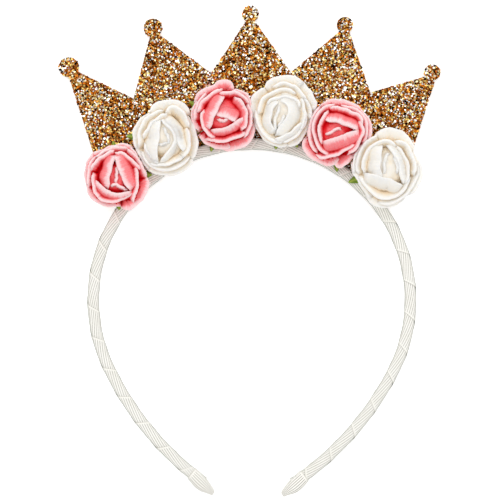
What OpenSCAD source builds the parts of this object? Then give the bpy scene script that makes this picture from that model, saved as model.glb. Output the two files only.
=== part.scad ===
// Mini crown headband: a ribbon-wound band, a five-point glitter crown and six foam roses.
// It lies on its back. +X is its right, +Y points up the crown, +Z faces out through the roses.

/* [Band] */
// Thickness of the band, from the head outwards
band_t = 4.8; // [4:0.1:6]
// Depth of the band, front to back
band_d = 6; // [5:0.25:8]
// Rounding of the band's long edges
band_round = 1.2; // [0.6:0.1:1.6]
// Radius of the band's middle line over the top of the head
top_r = 65.3; // [62:0.5:75]
// Turn of each half of the top arc
top_turn = 25; // [15:1:35]
// Radius of the band's middle line round the sides
side_r = 62.1; // [56:0.5:66]
// Turn of each side arc
side_turn = 91; // [85:1:95]
// Radius of the band's middle line along the legs
leg_r = 120.5; // [100:1:140]
// Turn of each leg arc
leg_turn = 29.5; // [26:0.5:31]

/* [Ribbon winding] */
// Length of band that one turn of ribbon covers
ribbon_pitch = 12.9; // [10:0.1:16]
// Where the winding starts, as a share of one turn from the top of the band
ribbon_start = 0.93; // [0:0.01:1]
// Width of the step where one turn of ribbon laps the last
seam_w = 0.4; // [0.3:0.05:0.6]
// Depth of that step
seam_depth = 0.3; // [0.2:0.05:0.5]

/* [End covers] */
// Length of the ribbon sleeve over each end of the band
cover_l = 6.5; // [5:0.5:10]
// Length of the folded tip beyond the sleeve
tip_l = 5; // [4:0.5:7]
// Thickness of the sleeve's wall
cover_wall = 0.5; // [0.4:0.1:0.8]
// Thickness of the sleeve's floor, past the end of the band
cover_floor = 0.6; // [0.4:0.1:1]
// Thickness of the folded tip at its end
tip_t = 2.4; // [1.6:0.1:3]
// Depth of the folded tip at its end
tip_d = 4.6; // [3.5:0.1:5.5]

/* [Crown] */
// Thickness of the glitter sheet
sheet_t = 2; // [1.2:0.1:3]
// How far the sheet reaches in behind the band from the band's outer edge
hem = 3.4; // [2:0.2:4]
// Distance from the fan's centre to the middle of the balls
tip_r = 134.5; // [125:0.5:145]
// Distance from the fan's centre to the notches between the points
notch_r = 112; // [104:0.5:116]
// How far the fan's centre lies below the middle of the band
fan_drop = 19.8; // [15:0.2:24]
// Angle from one point of the crown to the next
point_step = 16.55; // [15:0.1:17]
// Turn of the whole crown on the band
crown_turn = 1.25; // [0:0.25:2]
// Radius of the balls at the tips of the points
ball_r = 3.5; // [3:0.1:4.2]
// Width of the neck under a ball
neck_w = 3.8; // [3:0.1:4.5]

/* [Roses] */
// Radius of a rose that nothing presses on
rose_r = 14.5; // [13:0.1:15]
// Height of a rose above its calyx
rose_h = 13.2; // [11:0.2:16]
// Thickness of a petal
petal_t = 1.2; // [0.9:0.1:1.5]
// Radius of the stub that stands in the calyx cup
stub_r = 5.2; // [4.5:0.1:6]

/* [Calyxes] */
// Wall of the calyx cup
cup_wall = 0.8; // [0.6:0.1:1.2]
// Thickness of the sepals
sepal_t = 0.8; // [0.6:0.1:1.2]
// Width of a sepal at its widest
sepal_w = 5.4; // [4:0.2:7]
// Length of the shorter sepals that stay under the petals
sepal_hidden = 11.5; // [10:0.5:12.5]

/* [Fit] */
// Clearance between pieces that are glued face to face
glue_gap = 0.1; // [0.05:0.05:0.3]
// Clearance round a stub in its cup
stub_gap = 0.15; // [0.1:0.05:0.3]
// Gap between two roses that press against each other
rose_gap = 0.3; // [0.2:0.1:0.6]

/* [Hidden] */
$fn = 96;

ivory = "#f3efe6";
gold = "#b98a3c";
pink = "#ee9aa0";
white = "#f6f1e8";
leaf = "#7f9410";
per_degree = PI / 180;

// One row for each point of the crown, from left to right. Its turn is in steps from the middle,
// its reach a share of tip_r, its ball of ball_r, its neck of neck_w, and the last column says
// how far the neck lies to the right of the ball's middle, as a share of neck_w
TURN = 0;
REACH = 1;
BALL = 2;
NECK = 3;
LEAN = 4;
crown_points = [
  [-1.98, 1.000, 1.14, 1.13,  0.00],
  [-1.02, 1.001, 1.06, 1.08, -0.07],
  [ 0.00, 0.999, 0.93, 0.94,  0.00],
  [ 0.98, 1.006, 0.92, 1.08,  0.24],
  [ 2.01, 0.986, 0.93, 1.20,  0.20]
];
neck_up = 0.9; // distance from the middle of a ball to its neck, as a share of the ball's radius

// One row for each low corner, the four notches between the sheet's two feet: turn in steps,
// reach as a share of notch_r
low_corners = [
  [-2.63, 0.741], [-1.51, 0.990], [-0.49, 0.997], [0.50, 1.001], [1.51, 1.013], [2.69, 0.741]
];

// Which way a column of a table lies
ANGLE = 0;
OUT = 1;
RADIUS = 2;
TWIST = 3;
COLOUR = 4;

// One row for each rose, from left to right: angle round the head, distance outside the band's
// middle line and free radius, both as shares of rose_r, twist, colour
roses = [
  [-48.8, 0.73, 0.95,  12, pink],
  [-29.2, 0.74, 1.02,  35, white],
  [-10.3, 0.83, 0.98, 100, pink],
  [  8.2, 0.97, 1.01,  20, white],
  [ 25.9, 0.85, 0.99, -80, pink],
  [ 44.1, 0.90, 1.03,  25, white]
];

// One row for each round of petals, from the outside in. Lengths are shares of the rose's
// radius or height, and straight = 1 makes a rim straight where 0 makes it round:
// petals, rim radius, rim height, height of the crevice inside the rim, straight, droop
PETALS = 0;
RIM_R = 1;
RIM_H = 2;
CREVICE_H = 3;
STRAIGHT = 4;
DROOP = 5;
petal_rounds = [
  [5, 0.97, 0.62, 0.34, 0.0, 0.24],
  [4, 0.80, 0.80, 0.44, 0.1, 0.16],
  [3, 0.60, 0.94, 0.54, 0.2, 0.12],
  [3, 0.32, 1.00, 0.70, 0.8, 0.06]
];
round_twist = 37; // turn of each round of petals against the one outside it
petal_lap = 0.4 * petal_t; // how far one side of a petal stands out over its neighbour
crevice_w = 0.3 * petal_t; // width of the crevice at its bottom
rose_steps = 44; // points round a rose
bud_r = 0.09; // radius of the bud's tip, as a share of the rose's radius
bud_h = 0.84; // height of the bud's tip, as a share of the rose's height

// One row for each sepal that reaches past its petals:
// rose, direction, length as a share of rose_r
SEPAL_ROSE = 0;
SEPAL_ANGLE = 1;
SEPAL_LENGTH = 2;
long_sepals = [
  [1, 97, 1.01], [1, 5, 0.98], [1, 275, 0.92],
  [2, 178, 1.10], [2, 75, 0.80],
  [3, 158, 1.01], [3, 253, 1.03],
  [4, 260, 1.08], [4, 293, 1.09], [4, 60, 0.80],
  [5, 90, 1.01], [5, 271, 1.06],
  [6, 203, 1.13], [6, 60, 0.86], [6, 292, 0.86]
];
sepal_directions = [20, 140, 225, 330]; // where a calyx has no long sepal, it has short ones here
sepal_clear = 40; // least angle between two sepals of one calyx
sepal_steps = 6; // points along each side of a sepal
tip_wall = cover_wall - 0.05; // the folded tip starts just inside the sleeve
wrap_lap = 0.03; // how much thinner the winding gets at each change of the band's curve
wrap_joint = 0.1; // turn by which one stretch of the band runs into the next

// Heights, from the surface that the headband lies on
band_back = sheet_t + glue_gap;
band_mid = band_back + band_d / 2;
band_front = band_back + band_d;
cup_floor = sheet_t + glue_gap;
sepal_back = band_front + glue_gap;
rose_seat = sepal_back + sepal_t + glue_gap;
stub_h = rose_seat - cup_floor - cup_wall - glue_gap;

// The band's middle line: three arcs on each half, each tangent to the next.
// Angles are turns from the top of the head, and the side arcs' centres lie at height 0.
arc_radius = [top_r, side_r, leg_r];
arc_start = [0, top_turn, top_turn + side_turn];
arc_end = [top_turn, top_turn + side_turn, top_turn + side_turn + leg_turn];
function direction(turn) = [sin(turn), cos(turn)];
side_centre = [(top_r - side_r) * sin(top_turn), 0];
top_centre = side_centre - (top_r - side_r) * direction(top_turn);
leg_centre = side_centre - (leg_r - side_r) * direction(arc_end[1]);
arc_centre = [top_centre, side_centre, leg_centre];
arc_length = [for (i = [0:2]) arc_radius[i] * (arc_end[i] - arc_start[i]) * per_degree];
leg_length = arc_length[0] + arc_length[1] + arc_length[2];

function arc_at(s) = s < arc_length[0] ? 0 : s < arc_length[0] + arc_length[1] ? 1 : 2;
function length_before(i) = i == 0 ? 0 : i == 1 ? arc_length[0] : arc_length[0] + arc_length[1];
function turn_at(s) =
  let (i = arc_at(s)) arc_start[i] + (s - length_before(i)) / arc_radius[i] / per_degree;
function point_at(s) = let (i = arc_at(s)) arc_centre[i] + arc_radius[i] * direction(turn_at(s));

// The end covers follow the leg, and the tip is straight
function leg_degrees(length) = length / leg_r / per_degree;
tip_turn = arc_end[2] + leg_degrees(cover_floor);
tip_start = leg_centre + leg_r * direction(tip_turn);
tip_end = tip_start + tip_l * [cos(tip_turn), -sin(tip_turn)];

// The crown's fan
function fan_side(r, angle, across) =
  let (a = angle - crown_turn)
  [r * sin(a) + across * cos(a), r * cos(a) - across * sin(a) - fan_drop];
function ball_at(i) =
  fan_side(tip_r * crown_points[i][REACH], point_step * crown_points[i][TURN], 0);
function ball_size(i) = ball_r * crown_points[i][BALL];
function low_corner(i) = fan_side(notch_r * low_corners[i][REACH], point_step * low_corners[i][TURN], 0);
cut_r = side_r + band_t / 2 - hem;
foot_in = 0.3 * hem; // how far the sheet's two ends reach inside the cut
last_point = len(crown_points) - 1;

// The middle of the whole outline, which becomes the origin
ball_left = ball_at(0)[0] - ball_size(0);
ball_right = ball_at(last_point)[0] + ball_size(last_point);
ball_top = ball_at(2)[1] + ball_size(2);
tip_bottom = tip_end[1] + tip_t / 2 * cos(tip_turn);
middle = [(ball_left + ball_right) / 2, (ball_top + tip_bottom) / 2];

// Where each rose stands
function rose_place(i) =
  (top_r + top_centre[1] + rose_r * roses[i][OUT])
  * [sin(roses[i][ANGLE]), cos(roses[i][ANGLE])];
function rose_reach(i) = rose_r * roses[i][RADIUS];
last_rose = len(roses) - 1;

// How far a petal may reach from rose i in a direction before it presses on rose j
function reach_to(i, j, angle) =
  let (
    between = rose_place(j) - rose_place(i),
    half = (norm(between) - rose_gap) / 2,
    toward = cos(angle - atan2(between[1], between[0]))
  )
  toward > 0.05 ? half / toward : 1000;
function free_reach(i, angle) = min(
  i > 0 ? reach_to(i, i - 1, angle) : 1000,
  i < last_rose ? reach_to(i, i + 1, angle) : 1000
);
function rose_edge(i) = rose_reach(i) + petal_lap;
function pressed(i, r, angle) =
  let (squeeze = 1 - min(1, free_reach(i, angle) / rose_edge(i)))
  r * (1 - squeeze * pow(r / rose_edge(i), 2));

// A rounded rectangle as points, w across and h high, with corners of radius r
function rounded(w, h, r, steps = 4) = [
  for (corner = [0:3], k = [0:steps])
    let (
      a = corner * 90 + k * 90 / steps,
      sx = corner == 0 || corner == 3 ? 1 : -1,
      sy = corner < 2 ? 1 : -1
    )
    [sx * (w / 2 - r) + r * cos(a), sy * (h / 2 - r) + r * sin(a)]
];

module frame() {
  translate([-middle[0], -middle[1], 0]) children();
}

// A stretch of the right half of the band's line, with its section grown all round
module arc_piece(i, from, to, grow) {
  translate([arc_centre[i][0], arc_centre[i][1], band_mid])
    rotate([0, 0, 90 - to])
      rotate_extrude(angle = to - from)
        translate([arc_radius[i], 0])
          polygon(rounded(band_t + 2 * grow, band_d + 2 * grow, band_round + grow));
}

// Stands on the band's line at length s from the top: x along it, y outwards, z to the front
module on_band(s) {
  a = abs(s);
  p = point_at(a);
  side = s < 0 ? -1 : 1;
  translate([side * p[0], p[1], band_mid])
    rotate([0, 0, -side * turn_at(a)])
      children();
}

// The lapped edge of the ribbon, which winds once round the band as it moves on by the pitch:
// over the front, the outside, the back and then the inside
module ribbon_seam(s) {
  girth = 2 * (band_t + band_d);
  lean = atan2(ribbon_pitch, girth);
  step_t = ribbon_pitch * band_t / girth;
  step_d = ribbon_pitch * band_d / girth;
  reach_t = band_t / cos(lean);
  reach_d = band_d / cos(lean);
  on_band(s + step_t / 2)
    translate([0, 0, band_d / 2])
      rotate([0, 0, -lean]) cube([seam_w, reach_t, 2 * seam_depth], center = true);
  on_band(s + step_t + step_d / 2)
    translate([0, band_t / 2, 0])
      rotate([0, -lean, 0]) cube([seam_w, 2 * seam_depth, reach_d], center = true);
  on_band(s + step_t * 1.5 + step_d)
    translate([0, 0, -band_d / 2])
      rotate([0, 0, lean]) cube([seam_w, reach_t, 2 * seam_depth], center = true);
  on_band(s + step_t * 2 + step_d * 1.5)
    translate([0, -band_t / 2, 0])
      rotate([0, lean, 0]) cube([seam_w, 2 * seam_depth, reach_d], center = true);
}

module band() color(ivory) frame() difference() {
  union() {
    arc_piece(0, -top_turn - wrap_joint, top_turn + wrap_joint, 0);
    for (side = [0, 1]) mirror([side, 0, 0]) {
      arc_piece(1, arc_start[1], arc_end[1] + wrap_joint, -wrap_lap);
      arc_piece(2, arc_start[2], arc_end[2], -2 * wrap_lap);
    }
  }
  turns = floor((leg_length - ribbon_pitch) / ribbon_pitch);
  for (k = [-turns:turns - 1]) ribbon_seam((k + ribbon_start) * ribbon_pitch);
}

// A ribbon sleeve over the end of the right leg, closed by a flattened tip
module end_cover() {
  end = arc_end[2];
  mouth = end - leg_degrees(cover_l);
  difference() {
    union() {
      arc_piece(2, mouth, tip_turn, cover_wall);
      hull() {
        tip_section(-cover_floor / 2, band_t + 2 * tip_wall, band_d + 2 * tip_wall, band_round + tip_wall);
        tip_section(tip_l * 0.45, band_t * 0.86, band_d * 0.94, band_round);
        tip_section(tip_l, tip_t, tip_d, tip_t * 0.4);
      }
    }
    arc_piece(2, mouth - 1, end + leg_degrees(glue_gap), glue_gap);
  }
}

module tip_section(along, w, h, r) {
  skin = 0.05;
  p = tip_start + (along - skin) * [cos(tip_turn), -sin(tip_turn)];
  translate([p[0], p[1], band_mid])
    rotate([0, 0, -tip_turn]) rotate([90, 0, 90])
      linear_extrude(skin) polygon(rounded(w, h, r, 3));
}

module end_cover_right() color(ivory) frame() end_cover();
module end_cover_left() color(ivory) frame() mirror([1, 0, 0]) end_cover();

// One point of the crown, up the right side of its neck and down the left
function neck_of(i) =
  let (
    p = crown_points[i],
    high = tip_r * p[REACH],
    low = high - neck_up * ball_size(i),
    right = neck_w * (p[LEAN] + p[NECK] / 2),
    left = neck_w * (p[LEAN] - p[NECK] / 2)
  )
  [for (q = [[low, right], [high, right / 2], [high, left / 2], [low, left]])
    fan_side(q[0], point_step * p[TURN], q[1])];
// The end of the sheet runs from its lower corner straight towards the middle of the head
function foot_end(i) = low_corner(i) * (cut_r - foot_in) / norm(low_corner(i));

// Five points with balls, cut from one sheet, with its hem behind the band
module crown() color(gold) frame() difference() {
  union() {
    linear_extrude(sheet_t) polygon([
      foot_end(last_point + 1),
      for (i = [last_point:-1:0]) each concat([low_corner(i + 1)], neck_of(i)),
      low_corner(0),
      foot_end(0)
    ]);
    for (i = [0:last_point])
      translate([ball_at(i)[0], ball_at(i)[1], 0]) cylinder(r = ball_size(i), h = sheet_t);
  }
  translate([0, 0, -1]) cylinder(r = cut_r, h = sheet_t + 2);
}

// Across one petal of a round, from -1 at one side to 1 at the other
function across(i, k, angle) =
  let (turns = (angle - roses[i][TWIST] - k * round_twist) * petal_rounds[k][PETALS] / 360)
  2 * (turns - floor(turns)) - 1;
// Each rim stays inside the petals of the round outside it
function rim_r(i, k, angle) =
  let (
    row = petal_rounds[k],
    u = across(i, k, angle),
    half = 180 / row[PETALS],
    bulge = 1 - row[STRAIGHT] + row[STRAIGHT] * cos(half / 2) / cos(half * u),
    room = k == 0 ? 1000 : rim_r(i, k - 1, angle) - petal_t - 2 * crevice_w
  )
  min(room, rose_reach(i) * row[RIM_R] * bulge + petal_lap * u);
function rim_h(i, k, angle) =
  let (row = petal_rounds[k]) rose_h * row[RIM_H] * (1 - row[DROOP] * pow(across(i, k, angle), 2));

// The section of rose i at one angle, from the foot of its stub over every rim to the bud
function rose_section(i, angle) = concat(
  [[stub_r, -stub_h], [stub_r, 0]],
  [for (share = [[0.62, 0.10], [0.93, 0.50]])
    [share[0] * rim_r(i, 0, angle), share[1] * rim_h(i, 0, angle)]],
  [for (k = [0:len(petal_rounds) - 1])
    let (
      r = rim_r(i, k, angle),
      h = rim_h(i, k, angle),
      last = k == len(petal_rounds) - 1,
      floor_r = last ? r - petal_t - crevice_w : rim_r(i, k + 1, angle) + crevice_w
    )
    each [[r, h], [r - petal_t, h], [floor_r, rose_h * petal_rounds[k][CREVICE_H]]]],
  [[rose_reach(i) * bud_r, rose_h * bud_h]]
);

// A foam rose as one closed surface, a section for each step round it
module rose(i) {
  place = rose_place(i);
  sections = [
    for (k = [0:rose_steps - 1])
      let (angle = k * 360 / rose_steps)
      [for (q = rose_section(i, angle))
        [pressed(i, q[0], angle) * cos(angle), pressed(i, q[0], angle) * sin(angle), q[1]]]
  ];
  rows = len(sections[0]);
  count = rows * rose_steps;
  function at(k, j) = (k % rose_steps) * rows + j;
  points = concat(
    [for (section = sections) each section],
    [[0, 0, -stub_h], [0, 0, rose_h * bud_h]]
  );
  faces = [
    for (k = [0:rose_steps - 1]) each concat(
      [for (j = [0:rows - 2]) [at(k, j), at(k, j + 1), at(k + 1, j + 1)]],
      [for (j = [0:rows - 2]) [at(k, j), at(k + 1, j + 1), at(k + 1, j)]],
      [[count, at(k, 0), at(k + 1, 0)], [count + 1, at(k + 1, rows - 1), at(k, rows - 1)]]
    )
  ];
  color(roses[i][COLOUR]) frame() translate([place[0], place[1], rose_seat])
    polyhedron(points, faces, convexity = 8);
}

// A leaf with its foot at the middle of the calyx, widest a little short of half way
module sepal(length, direction) {
  rotate([0, 0, direction]) polygon([
    for (side = [1, -1], k = [0:sepal_steps])
      let (t = (side > 0 ? k : sepal_steps - k) / sepal_steps)
      [length * t, side * sepal_w / 2 * pow(sin(180 * pow(t, 0.8)), 0.8)]
  ]);
}

function long_of(i) = [for (s = long_sepals) if (s[SEPAL_ROSE] == i + 1) s];
function apart(a, b) = abs((a - b + 540) % 360 - 180);
function short_of(i) = [
  for (d = sepal_directions)
    if (min([for (s = long_of(i)) apart(s[SEPAL_ANGLE], d)]) > sepal_clear) d
];

// A cup on the glitter sheet whose rim opens into flat sepals over the front of the band
module calyx(i) {
  place = rose_place(i);
  cup_r = stub_r + stub_gap + cup_wall;
  color(leaf) frame() translate([place[0], place[1], 0]) difference() {
    union() {
      translate([0, 0, cup_floor]) cylinder(r = cup_r, h = sepal_back + sepal_t - cup_floor);
      translate([0, 0, sepal_back]) linear_extrude(sepal_t) {
        for (s = long_of(i)) sepal(rose_r * s[SEPAL_LENGTH], s[SEPAL_ANGLE]);
        for (d = short_of(i)) sepal(sepal_hidden, d);
      }
    }
    translate([0, 0, cup_floor + cup_wall]) cylinder(r = stub_r + stub_gap, h = rose_seat);
  }
}

module rose_1() rose(0);
module rose_2() rose(1);
module rose_3() rose(2);
module rose_4() rose(3);
module rose_5() rose(4);
module rose_6() rose(5);
module calyx_1() calyx(0);
module calyx_2() calyx(1);
module calyx_3() calyx(2);
module calyx_4() calyx(3);
module calyx_5() calyx(4);
module calyx_6() calyx(5);

band();
end_cover_left();
end_cover_right();
crown();
rose_1();
rose_2();
rose_3();
rose_4();
rose_5();
rose_6();
calyx_1();
calyx_2();
calyx_3();
calyx_4();
calyx_5();
calyx_6();
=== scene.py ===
import math

import bpy
import numpy as np
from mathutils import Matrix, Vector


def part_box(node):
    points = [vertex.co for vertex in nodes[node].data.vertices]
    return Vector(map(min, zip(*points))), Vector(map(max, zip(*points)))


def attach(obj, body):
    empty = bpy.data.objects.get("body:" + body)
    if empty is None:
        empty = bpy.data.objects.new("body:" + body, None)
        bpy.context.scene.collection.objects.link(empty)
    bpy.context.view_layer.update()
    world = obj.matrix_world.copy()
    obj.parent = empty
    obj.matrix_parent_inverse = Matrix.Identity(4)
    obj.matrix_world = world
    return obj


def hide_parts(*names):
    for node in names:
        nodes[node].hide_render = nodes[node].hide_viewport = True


# Mini crown headband, lying on its back.
# Shapes are worked out in millimetres in the frame's own axes and become metres in the mesh.

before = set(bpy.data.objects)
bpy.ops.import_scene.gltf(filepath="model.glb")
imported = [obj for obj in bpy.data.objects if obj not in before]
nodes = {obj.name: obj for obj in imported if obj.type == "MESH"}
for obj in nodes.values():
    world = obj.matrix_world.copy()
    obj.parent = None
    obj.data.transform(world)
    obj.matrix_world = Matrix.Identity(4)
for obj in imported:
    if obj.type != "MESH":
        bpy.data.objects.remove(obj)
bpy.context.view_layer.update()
chance = np.random.default_rng(27)
print("frame loaded:", len(nodes), "nodes")


# Shapes

def makePiece(name, points, quads, values=None, smooth=True):
    # a mesh object from (n, 3) points in millimetres, (k, 4) faces and lists of values for the points
    mesh = bpy.data.meshes.new(name)
    mesh.from_pydata((points * 0.001).tolist(), [], quads.tolist())
    for key, array in (values or {}).items():
        mesh.attributes.new(key, "FLOAT", "POINT").data.foreach_set("value", np.ravel(array).astype(np.float32))
    mesh.polygons.foreach_set("use_smooth", np.full(len(mesh.polygons), smooth))
    mesh.update()
    piece = bpy.data.objects.new(name, mesh)
    bpy.context.scene.collection.objects.link(piece)
    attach(piece, "root")
    return piece


def volumeOf(points, quads):
    # sum of the boxes that each face spans with the origin, which is negative when the faces point inwards
    a, b, c, d = (points[quads[:, i]] for i in range(4))
    return np.sum(np.cross(a, b) * c) + np.sum(np.cross(a, c) * d)


def loopSolid(loops):
    # a closed solid from (n, m, 3) loops: quads from each loop to the next, and a ladder of quads over each end
    n, m = loops.shape[:2]
    i, j = np.meshgrid(np.arange(n - 1), np.arange(m), indexing="ij")
    near, far = i * m + j, i * m + (j + 1) % m
    sides = np.stack([near, far, far + m, near + m], -1).reshape(-1, 4)
    j = np.arange(m // 2 - 1)
    ladder = np.stack([j, m - 1 - j, m - 2 - j, j + 1], -1)
    quads = np.concatenate([sides, ladder, ladder[:, ::-1] + (n - 1) * m])
    points = loops.reshape(-1, 3)
    return points, quads if volumeOf(points, quads) > 0 else quads[:, ::-1]


def joined(solids):
    # several solids as one: all their points, their faces counted on, and each of their lists of point values
    points, quads, *values = zip(*solids)
    starts = np.cumsum([0] + [len(p) for p in points])
    quads = [q + start for q, start in zip(quads, starts)]
    return [np.concatenate(part) for part in (points, quads, *values)]


def smoothLine(marks, count):
    # a curve through all the marks (Catmull-Rom), then count points at equal steps along it
    p = np.array(marks, float)
    p = np.concatenate([[2 * p[0] - p[1]], p, [2 * p[-1] - p[-2]]])
    t = np.linspace(0, len(p) - 3, 12 * len(p))
    i = np.minimum(t.astype(int), len(p) - 4)
    f = (t - i)[:, None]
    a, b, c, d = p[i], p[i + 1], p[i + 2], p[i + 3]
    line = 0.5 * (2 * b + (c - a) * f + (2 * a - 5 * b + 4 * c - d) * f**2 + (3 * b - a - 3 * c + d) * f**3)
    run = runAlong(line)
    at = np.linspace(0, run[-1], count)
    return np.stack([np.interp(at, run, line[:, k]) for k in range(p.shape[1])], -1)


def runAlong(line):
    # the length run so far at each point of a line
    return np.concatenate([[0], np.cumsum(np.linalg.norm(np.diff(line, axis=0), axis=1))])


def unit(v):
    # each vector over its own length
    return v / np.maximum(np.linalg.norm(v, axis=-1, keepdims=True), 1e-9)


def ramp(x, low, high):
    # 0 below low, 1 above high and a smooth step between them
    t = np.clip((x - low) / (high - low), 0, 1)
    return t * t * (3 - 2 * t)


def signedPower(x, power):
    # the power of the size of x, with the sign of x
    return np.sign(x) * np.abs(x) ** power


def roundRib(turn):
    # a rounded rib every half turn, from 0 in the valleys to 1 on top
    return np.abs(np.sin(turn)) ** 0.7


# Materials. Colours are written as they are read off a screen, 0 to 255

def makeGroup(name, inputs, outputs):
    # a shader node group with named sockets: inputs are (name, type, value), outputs (name, type)
    group = bpy.data.node_groups.new(name, "ShaderNodeTree")
    for label, kind, value in inputs:
        group.interface.new_socket(label, in_out="INPUT", socket_type="NodeSocket" + kind).default_value = value
    for label, kind in outputs:
        group.interface.new_socket(label, in_out="OUTPUT", socket_type="NodeSocket" + kind)
    return group, group.nodes.new("NodeGroupInput"), group.nodes.new("NodeGroupOutput")


def rgb(r, g, b):
    # a screen colour in Blender's linear values
    line = [c / 255 / 12.92 if c <= 10 else ((c / 255 + 0.055) / 1.055) ** 2.4 for c in (r, g, b)]
    return (*line, 1.0)


def feed(tree, socket, value):
    # another node's output is linked, a screen colour is turned to linear and a number is set as it is
    if isinstance(value, bpy.types.NodeSocket):
        tree.links.new(value, socket)
    else:
        socket.default_value = rgb(*value) if isinstance(value, tuple) else value


def addNode(tree, kind, **inputs):
    # a node whose inputs are fed by label
    node = tree.nodes.new("ShaderNode" + kind)
    for label, value in inputs.items():
        feed(tree, next(s for s in node.inputs if s.enabled and s.name == label), value)
    return node


def mathNode(tree, operation, *values, clamp=False):
    node = addNode(tree, "Math")
    node.operation, node.use_clamp = operation, clamp
    for socket, value in zip(node.inputs, values):
        feed(tree, socket, value)
    return node.outputs[0]


def times(tree, value, factor, plus=0.0, clamp=False):
    # value * factor + plus
    return mathNode(tree, "MULTIPLY_ADD", value, factor, plus, clamp=clamp)


def mixColour(tree, share, a, b):
    node = addNode(tree, "Mix")
    node.data_type = "RGBA"
    for socket, value in ((node.inputs[0], share), (node.inputs[6], a), (node.inputs[7], b)):
        feed(tree, socket, value)
    return node.outputs[2]


def colourRamp(tree, value, stops, steps=False):
    # stops are (place, colour)
    node = addNode(tree, "ValToRGB", Fac=value)
    node.color_ramp.interpolation = "CONSTANT" if steps else "LINEAR"
    while len(node.color_ramp.elements) < len(stops):
        node.color_ramp.elements.new(0.5)
    for element, (place, colour) in zip(node.color_ramp.elements, stops):
        element.position, element.color = place, rgb(*colour)
    return node.outputs[0]


def newMaterial(name, **settings):
    # a material with one Principled shader, whose plain values are set on its own sockets
    material = bpy.data.materials.new(name)
    material.use_nodes = True
    tree = material.node_tree
    shader = tree.nodes["Principled BSDF"]
    for label, value in settings.items():
        shader.inputs[label.replace("_", " ")].default_value = value
    return material, tree, shader


def wear(piece, material):
    piece.data.materials.clear()
    piece.data.materials.append(material)


# grain: fine and coarse noise in millimetres, as a height and a patchy shade from 0 to 1
grain, inside, outside = makeGroup(
    "grain",
    [("Fine", "Float", 0.3), ("Patch", "Float", 6.0), ("Detail", "Float", 3.0)],
    [("Height", "Float"), ("Shade", "Float")],
)
place = addNode(grain, "TexCoord").outputs["Object"]
fineScale = mathNode(grain, "DIVIDE", 1000.0, inside.outputs["Fine"])
patchScale = mathNode(grain, "DIVIDE", 1000.0, inside.outputs["Patch"])
fine = addNode(grain, "TexNoise", Vector=place, Scale=fineScale, Detail=inside.outputs["Detail"], Roughness=0.6)
patch = addNode(grain, "TexNoise", Vector=place, Scale=patchScale, Detail=2.0)
grain.links.new(fine.outputs["Fac"], outside.inputs["Height"])
grain.links.new(patch.outputs["Fac"], outside.inputs["Shade"])


def addGrain(tree, fineSize, patchSize, detail=3.0):
    node = tree.nodes.new("ShaderNodeGroup")
    node.node_tree = grain
    node.inputs["Fine"].default_value = fineSize
    node.inputs["Patch"].default_value = patchSize
    node.inputs["Detail"].default_value = detail
    return node.outputs["Height"], node.outputs["Shade"]


def addBump(tree, shader, height, distance, strength):
    bump = addNode(tree, "Bump", Height=height, Distance=distance, Strength=strength)
    tree.links.new(bump.outputs["Normal"], shader.inputs["Normal"])


def pointValue(tree, name):
    node = addNode(tree, "Attribute")
    node.attribute_name = name
    return node.outputs["Fac"]


def ribbonMaterial(name, tint, ribs=True, even=False):
    # ivory ribbon: a fine grey line of painted shade between its ribs, a lighter selvedge, a thin dark line of painted
    # shadow along the lapped edge, and painted shade that makes it greyer where it turns away from the eye
    material, tree, shader = newMaterial(name, Roughness=0.5, Sheen_Weight=0.08, Sheen_Roughness=0.4,
                                         Specular_IOR_Level=0.35)
    height, shade = addGrain(tree, 0.16, 5.0)
    body = mixColour(tree, shade, tint["shade"], tint["light"])
    if ribs:
        turn = times(tree, pointValue(tree, "ribPlace"), math.pi)
        rib = mathNode(tree, "ABSOLUTE", mathNode(tree, "SINE", turn))
        # painted shade in the valleys between the ribs
        line = times(tree, rib, -1.7, 1.1, clamp=True)      # 1 in a valley, 0 where the sine passes 0.65
        if not even:      # the lines come and go along an uneven ribbon
            line = times(tree, line, times(tree, addGrain(tree, 0.5, 3.0)[0], 2.0, -0.1, clamp=True))
        line = times(tree, line, pointValue(tree, "ribShown"))
        body = mixColour(tree, line, body, tint["valley"])
        body = mixColour(tree, times(tree, pointValue(tree, "selvedge"), 0.4), body, tint["selvedge"])
        # painted shadow: a thin dark line along the lapped edge of each turn and at the mouth of each cover
        body = mixColour(tree, pointValue(tree, "edge"), body, tint["edge"])
    # painted shade: greyer where the surface turns away from the eye, on the ribbon, the covers and the core
    facing = addNode(tree, "LayerWeight", Blend=0.5).outputs["Facing"]
    turned = times(tree, facing, 2.0, -0.2, clamp=True)
    body = mixColour(tree, times(tree, turned, 0.8), body, tint["turned"])
    tree.links.new(body, shader.inputs["Base Color"])
    addBump(tree, shader, height, 0.00005, 0.5)
    return material


# valley, edge and turned are painted shade: between the ribs, along the lapped edge and where the ribbon turns away
# from the eye
ribbonTint = dict(light=(250, 249, 245), shade=(240, 238, 229), valley=(158, 155, 143), selvedge=(252, 249, 240),
                  edge=(204, 201, 190), turned=(150, 153, 143))
coverTint = dict(light=(255, 253, 248), shade=(252, 249, 241), valley=(140, 137, 124), selvedge=(252, 249, 240),
                 edge=(190, 186, 172), turned=(198, 198, 190))
ivoryRibbon = ribbonMaterial("ivoryRibbon", ribbonTint)
coverRibbon = ribbonMaterial("coverRibbon", coverTint, even=True)

foam = dict(
    depth=12,       # millimetres below the rim that the stops of a tint span
    patches=0.1, streaks=0.16, flecks=0.4,      # how far patches and streaks shift the tint, how much the flecks show
    streakAlong=1.6, streakDown=0.22,       # how close the streaks stand along the rim, how short they are down from it
)


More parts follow.
